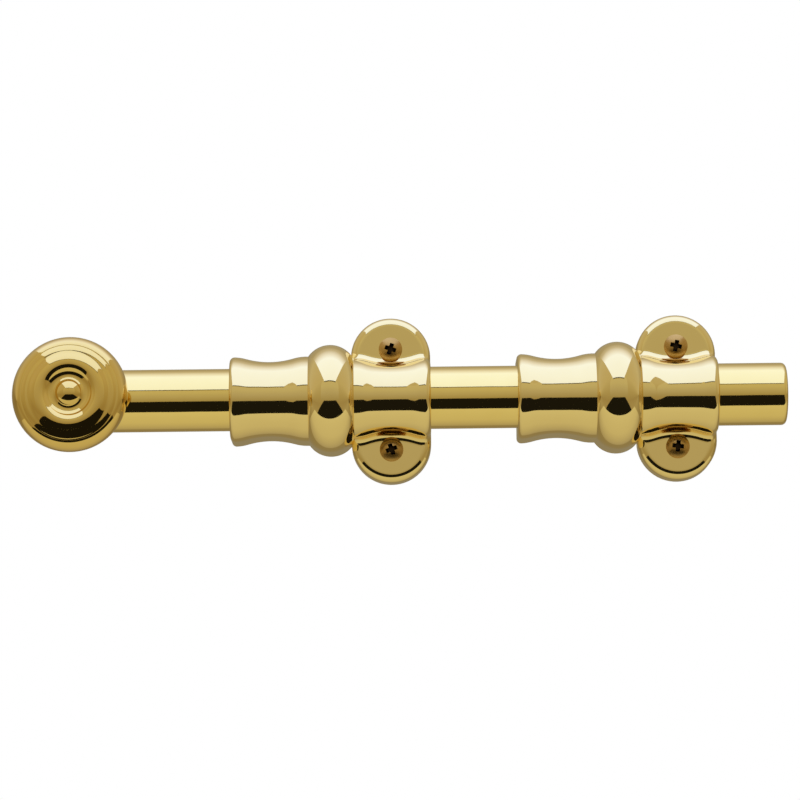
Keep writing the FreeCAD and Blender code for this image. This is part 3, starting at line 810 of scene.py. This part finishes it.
def threaded_shank(start, finish):
    """A pointed wood-screw thread as one skin round the X axis"""
    rows = int((finish - start) / THREAD_PITCH * ROWS_PER_TURN)
    rings = []
    for row in range(rows + 1):
        x = start + (finish - start) * row / rows
        taper = min(1.0, max(0.0, (finish - x) / POINT_LENGTH))
        fade = min(1.0, (x - start) / THREAD_PITCH)
        core = (THREAD_R - THREAD_DEPTH * fade) * taper
        ring = []
        for column in range(THREAD_COLUMNS):
            turn = column / THREAD_COLUMNS
            phase = ((x - start) / THREAD_PITCH - turn) % 1.0
            ridge = max(0.0, 1 - abs(phase - 0.5) / RIDGE_WIDTH)
            r = max(POINT_R, core + THREAD_DEPTH * ridge * fade * min(1, taper * 2))
            angle = 2 * math.pi * turn
            ring.append(Vector((x, r * math.cos(angle), r * math.sin(angle))))
        rings.append(ring)
    return ring_skin("thread", rings, screw_brass)


def oval_screw():
    """The whole screw along X, with its flange plane at x = 0 and its head towards -X"""
    door_face = -FLANGE_FRONT
    line = profile([
        (-HEAD_PROUD - DOME, 0.0, -dome_curve), (-HEAD_PROUD, HEAD_R),
        (CONE_DEPTH - HEAD_PROUD, SHANK_R), (door_face, SHANK_R), (door_face, 0.0)])
    top = Matrix.Translation((-(HEAD_PROUD + DOME) * MM, 0, 0))
    recess = [place(tool, top) for tool in cross_recess(width=1.28, reach=2.0, depth=1.7)]
    head = cut(sweep(line, screw_brass, arc_columns=96), recess)
    darken_recess(head)
    return sharpen(joined("oval_screw", [head, threaded_shank(door_face, door_face + SCREW_REACH)]))


screw_mesh = oval_screw()
print("screw faces:", len(screw_mesh.polygons))

# %% Set the screws on their seats
SCREW_TURNS = {("rear", 1): 19.0, ("rear", -1): -20.0, ("front", 1): 14.0, ("front", -1): 7.0}


def build_seating_tree():
    """Seat points in, one screw on each, turned by the point's own angle"""
    tree = new_group("seated_screws", "GeometryNodeTree", (
        GEOMETRY, ("Screw", "NodeSocketObject"), ("Material", "NodeSocketMaterial")), (GEOMETRY,))
    wire = Wiring(tree)
    given = wire.add("NodeGroupInput").outputs
    info = wire.add("GeometryNodeObjectInfo", {"Object": given["Screw"]})
    angle = wire.add("GeometryNodeInputNamedAttribute", {"Name": "screw_turn"}, data_type="FLOAT")
    turn = wire.add("ShaderNodeCombineXYZ", {"Y": angle.outputs["Attribute"]})
    upright = wire.add("FunctionNodeEulerToRotation", {0: (0.0, 0.0, math.pi / 2)})
    spin = wire.add("FunctionNodeEulerToRotation", {0: turn.outputs[0]})
    both = wire.add("FunctionNodeRotateRotation", {
        "Rotation": upright.outputs[0], "Rotate By": spin.outputs[0]}, rotation_space="GLOBAL")
    copies = wire.add("GeometryNodeInstanceOnPoints", {
        "Points": given["Geometry"], "Instance": info.outputs["Geometry"], "Rotation": both.outputs[0]})
    real = wire.add("GeometryNodeRealizeInstances", {"Geometry": copies.outputs[0]})
    slot = wire.add("GeometryNodeInputMaterialIndex").outputs[0]
    outside = wire.add("FunctionNodeCompare", {"A": slot, "B": 0.5}, operation="LESS_THAN")
    dressed = wire.add("GeometryNodeSetMaterial", {
        "Geometry": real.outputs[0], "Selection": outside.outputs[0], "Material": given["Material"]})
    wire.add("NodeGroupOutput", {0: dressed.outputs[0]})
    return tree


seats = bpy.data.meshes.new("screw_seats")
spots = [(bracket_x[name], FLANGE_FRONT * MM, way * SCREW_Z * MM) for name, way in SCREW_TURNS]
seats.from_pydata(spots, [], [])
turns = seats.attributes.new("screw_turn", "FLOAT", "POINT")
for item, degrees in zip(turns.data, SCREW_TURNS.values()):
    item.value = math.radians(degrees)
seat_points = as_object("screw_seats", seats)
one_screw = as_object("one_screw", screw_mesh)
screws = run_tree(seat_points, build_seating_tree(), {"Screw": one_screw, "Material": screw_brass})
bpy.data.objects.remove(seat_points)
bpy.data.objects.remove(one_screw)
finish_piece("mounting_screws", screws, "mounting", "screw_brass",
             "rear_upper_screw", "rear_lower_screw", "front_upper_screw", "front_lower_screw")

# %% [markdown]
# ## The hidden pieces
# From behind, the rod shows its flat with the head of the knob's screw and the stop pin, and each
# bracket shows its leaf spring. The screw and the pin are turned like the rest. The springs are strips
# whose solids are already right, so they only get their steel.

# %% Turn the knob's screw and the stop pin
FIXING_END = -ROD_R - 3.6
PIN_EASE = 0.4

fixing_line = profile([
    (FLAT_Y, 0.0), (FLAT_Y, FIXING_HEAD_R), (FIXING_RIM, FIXING_HEAD_R), (FIXING_CONE, FIXING_R),
    (FIXING_END, FIXING_R), (FIXING_END, 0.0)])
head_side = Matrix.Translation((FLAT_Y * MM, 0, 0)) @ Matrix.Rotation(math.pi, 4, "Z")
fixing_recess = [place(tool, head_side) for tool in cross_recess(width=0.95, reach=1.95, depth=1.6)]
fixing = along_y(cut(sweep(fixing_line, screw_brass, arc_columns=96), fixing_recess), knob_x, y=axis_y)
finish_piece("knob_fixing_screw", fixing, "bolt", "screw_brass", "knob_screw")

pin_start, pin_end = pin_low.y / MM, pin_high.y / MM
pin_line = profile([(pin_start, 0.0), (pin_start, PIN_R), (pin_end - PIN_EASE, PIN_R),
                    (pin_end, PIN_R - PIN_EASE), (pin_end, 0.0)])
finish_piece("stop_pin_turned", along_y(sweep(pin_line, pin_brass, arc_columns=64), pin_x),
             "bolt", "pin_brass", "stop_pin")

for name in ("rear_spring", "front_spring"):
    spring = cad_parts[name]
    spring.data.materials.clear()
    spring.data.materials.append(spring_steel)
print("springs dressed in", spring_steel.name)

# %% [markdown]
# ## The camera
# The photograph was taken from a little below the rod, with a long lens, and tipped by about two thirds
# of a degree. The camera stands there and looks half a millimetre under the point of the rod's axis
# that lies in the middle of the frame.

# %% Place the camera
CAMERA_DISTANCE = 0.950
CAMERA_BELOW = math.atan(0.1326)
CAMERA_ROLL = math.radians(0.65)
FRAME_WIDTH = 203.8 * MM
AIM_X = -70.7 * MM
AIM_DROP = -0.47 * MM

camera_data = bpy.data.cameras.new("photo_camera")
camera_data.sensor_width = 36.0
camera_data.lens = camera_data.sensor_width * CAMERA_DISTANCE / FRAME_WIDTH
camera_data.clip_start = 0.01
camera_data.clip_end = 50.0
camera = bpy.data.objects.new("photo_camera", camera_data)
scene.collection.objects.link(camera)
aim = Vector((AIM_X, axis_y, AIM_DROP))
look = Vector((0.0, math.cos(CAMERA_BELOW), math.sin(CAMERA_BELOW)))
camera.matrix_world = (
    Matrix.Translation(aim - look * CAMERA_DISTANCE)
    @ look.to_track_quat("-Z", "Y").to_matrix().to_4x4()
    @ Matrix.Rotation(-CAMERA_ROLL, 4, "Z")
)
scene.camera = camera
print("lens mm:", round(camera_data.lens, 1), "camera at", [round(v, 3) for v in camera.location])

# %% [markdown]
# ## The room that the brass reflects
# A mirror shows its surroundings, so polished metal is lit by building what stands round it. The
# reflections in the photograph tell what that was: a large soft box overhead, whose front edge carries
# a thin dark frame and whose glow fades out behind the object, a pale wall in front, a black cloth
# below the lens, and a pale table under the object. Each is a flat panel that glows by itself. The soft
# box is wider at the back and the cloth narrower: the bulbs curve both ways, so the light and dark
# shapes on them show where the sides of both end. A wide dome behind the panels holds the tan tone of
# the rest of the room. Only reflections see all this, and lamps and a white world light the floor.

# %% Helpers for the room
ROOM_CENTRE = Vector((AIM_X, axis_y, 0.0))


def glow_material(name, colours, position):
    """A surface that glows; its colour runs through stops of a position between 0 and 1"""
    material = bpy.data.materials.new(name)
    material.use_nodes = True
    material.cycles.emission_sampling = "NONE"
    material.node_tree.nodes.clear()
    wire = Wiring(material.node_tree)
    ramp = wire.add("ShaderNodeValToRGB", {"Fac": position(wire)})
    elements = ramp.color_ramp.elements
    while len(elements) < len(colours):
        elements.new(0.5)
    while len(elements) > len(colours):
        elements.remove(elements[-1])
    for element, (stop, colour) in zip(elements, colours):
        element.position = stop
        element.color = (*colour, 1.0)
    glow = wire.add("ShaderNodeEmission", {"Color": ramp.outputs[0], "Strength": 1.0})
    wire.add("ShaderNodeOutputMaterial", {"Surface": glow.outputs[0]})
    return material


def object_spot(wire):
    """The shaded spot on the object, as X, Y and Z"""
    return wire.add("ShaderNodeSeparateXYZ", {0: wire.add("ShaderNodeTexCoord").outputs["Object"]}).outputs


def only_reflections(item):
    """Let mirrors see a stage piece, and nothing else"""
    for ray in ("camera", "diffuse", "transmission", "volume_scatter", "shadow"):
        setattr(item, f"visible_{ray}", False)


def panel(name, sides, front, back, colours, back_sides=None):
    """A flat panel between two edges parallel to X, each given as (y, z) from the room's centre"""
    (left, right), (back_left, back_right) = sides, back_sides or sides
    corners = [(left, *front), (right, *front), (back_right, *back), (back_left, *back)]
    mesh = bpy.data.meshes.new(name)
    mesh.from_pydata([ROOM_CENTRE + Vector(corner) for corner in corners], [], [(0, 1, 2, 3)])

    def from_front_to_back(wire):
        spot = object_spot(wire)
        way = Vector(back) - Vector(front)
        origin = Vector(front) + ROOM_CENTRE.yz
        along = wire.math("MULTIPLY", wire.math("SUBTRACT", spot["Y"], origin.x), way.x / way.length_squared)
        up = wire.math("MULTIPLY", wire.math("SUBTRACT", spot["Z"], origin.y), way.y / way.length_squared)
        return wire.math("ADD", along, up)

    mesh.materials.append(glow_material(name, colours, from_front_to_back))
    only_reflections(as_object(name, mesh))


print("helpers for the room ready")

# %% Build the glowing panels
SOFT_BOX_FRONT, SOFT_BOX_BACK, SOFT_BOX_END = (-1.19, 0.758), (0.0, 1.054), (1.35, 0.95)
FRAME_FOOT = (SOFT_BOX_FRONT[0], 0.690)
SOFT_BOX_SIDES, SOFT_BOX_BACK_SIDES = (-0.57, 0.60), (-0.85, 0.87)
SOFT_BOX_FULL = (1.12, 1.36, 2.40)
ROOM_TAN = (0.42, 0.37, 0.25)
WALL_Y, WALL_TOP = -1.45, 1.03
CLOTH_LEVEL, TABLE_LEVEL = -0.28, -0.33

panel("soft_box", SOFT_BOX_SIDES, SOFT_BOX_FRONT, SOFT_BOX_BACK,
      ((0.0, (1.07, 1.27, 2.10)), (1.0, SOFT_BOX_FULL)), back_sides=SOFT_BOX_BACK_SIDES)
panel("soft_box_fade", SOFT_BOX_BACK_SIDES, SOFT_BOX_BACK, SOFT_BOX_END, (
    (0.0, SOFT_BOX_FULL), (0.2, (0.93, 1.02, 1.50)), (0.42, (0.64, 0.62, 0.62)), (0.7, (0.47, 0.42, 0.30)),
    (1.0, ROOM_TAN)))
panel("soft_box_frame", SOFT_BOX_SIDES, FRAME_FOOT, SOFT_BOX_FRONT, ((0.0, (0.08, 0.07, 0.05)),))
panel("front_wall", (-1.15, 1.15), (WALL_Y, CLOTH_LEVEL), (WALL_Y, WALL_TOP), (
    (0.0, (0.40, 0.34, 0.20)), (0.34, (0.51, 0.465, 0.34)), (0.62, (0.59, 0.55, 0.39)),
    (0.9, (0.62, 0.57, 0.40))))
panel("black_cloth", (-0.68, 0.72), (-1.442, CLOTH_LEVEL), (-0.239, CLOTH_LEVEL),
      ((0.0, (0.012, 0.011, 0.009)),), back_sides=(-0.50, 0.50))
panel("pale_table", (-0.95, 0.95), (-0.282, TABLE_LEVEL), (0.348, TABLE_LEVEL), (
    (0.0, (0.71, 0.68, 0.50)), (0.5, (0.64, 0.60, 0.43)), (1.0, ROOM_TAN)))
print("panels ready")

# %% Build the dome
DOME_RADIUS = 2.0
# Each tone stands at an angle round the X axis: 0 is straight ahead of the object, 90 overhead
DOME_TONES = (
    (-180, (0.28, 0.23, 0.13)), (-150, (0.30, 0.25, 0.14)), (-62, (0.44, 0.38, 0.24)),
    (-20, (0.38, 0.31, 0.175)), (0, (0.45, 0.385, 0.225)), (35, (0.57, 0.51, 0.35)),
    (60, (0.58, 0.52, 0.38)), (112, (0.60, 0.56, 0.45)), (150, ROOM_TAN),
    (165, (0.30, 0.25, 0.14)), (180, (0.28, 0.23, 0.13)),
)


def turn_about_x(wire):
    """Where a spot lies round the X axis, from 0 at -180 degrees to 1 at 180 degrees"""
    spot = object_spot(wire)
    ahead = wire.math("MULTIPLY", spot["Y"], -1.0)
    turn = wire.math("DEGREES", wire.math("ARCTAN2", spot["Z"], ahead))
    return wire.math("DIVIDE", wire.math("ADD", turn, 180.0), 360.0)


dome_shape = bmesh.new()
bmesh.ops.create_uvsphere(dome_shape, u_segments=64, v_segments=32, radius=DOME_RADIUS)
dome_stops = [((degrees + 180) / 360, colour) for degrees, colour in DOME_TONES]
dome_glow = glow_material("studio_dome", dome_stops, turn_about_x)
dome = as_object("studio_dome", as_mesh("studio_dome", dome_shape, dome_glow))
dome.location = ROOM_CENTRE
only_reflections(dome)
print("dome tones:", len(DOME_TONES))

# %% Floor, lamps and world
FLOOR_DROP, FLOOR_HALF = 0.95, 8.0
LAMP_AIM = Vector((AIM_X, 0, -0.3))
LAMP_SIZE = 1.2
WORLD_LIGHT, WORLD_SEEN = 0.55, 1.0

floor_shape = bmesh.new()
bmesh.ops.create_grid(floor_shape, x_segments=1, y_segments=1, size=FLOOR_HALF)
floor_material = bpy.data.materials.new("pale_floor")
floor_material.use_nodes = True
floor_shader = floor_material.node_tree.nodes["Principled BSDF"]
floor_shader.inputs["Base Color"].default_value = (0.86, 0.86, 0.85, 1.0)
floor_shader.inputs["Roughness"].default_value = 0.9
floor_mesh = as_mesh("studio_floor", floor_shape, floor_material)
floor = as_object("studio_floor", place(floor_mesh, Matrix.Translation((0, 0, -FLOOR_DROP))))
floor.visible_glossy = False

for name, spot, power in (("front_lamp", (-0.5, -1.4, 1.5), 30.0), ("back_lamp", (0.6, 1.5, 1.6), 20.0)):
    lamp_data = bpy.data.lights.new(name, "AREA")
    lamp_data.size = LAMP_SIZE
    lamp_data.energy = power
    lamp = bpy.data.objects.new(name, lamp_data)
    lamp.location = spot
    lamp.rotation_euler = (LAMP_AIM - Vector(spot)).to_track_quat("-Z", "Y").to_euler()
    lamp.visible_glossy = False
    scene.collection.objects.link(lamp)

world = bpy.data.worlds.new("white_studio")
scene.world = world
world.use_nodes = True
world.node_tree.nodes.clear()
wire = Wiring(world.node_tree)
path = wire.add("ShaderNodeLightPath").outputs
mirrored = wire.math("MAXIMUM", path["Is Glossy Ray"], path["Is Transmission Ray"])
seen = wire.math("MAXIMUM", path["Is Camera Ray"], mirrored)
strength = wire.add("ShaderNodeMapRange", {"Value": seen, "To Min": WORLD_LIGHT, "To Max": WORLD_SEEN})
sky = wire.add("ShaderNodeBackground", {"Color": (1.0, 1.0, 1.0, 1.0), "Strength": strength.outputs[0]})
wire.add("ShaderNodeOutputWorld", {"Surface": sky.outputs[0]})
scene.view_settings.view_transform = "Standard"
print("studio ready")
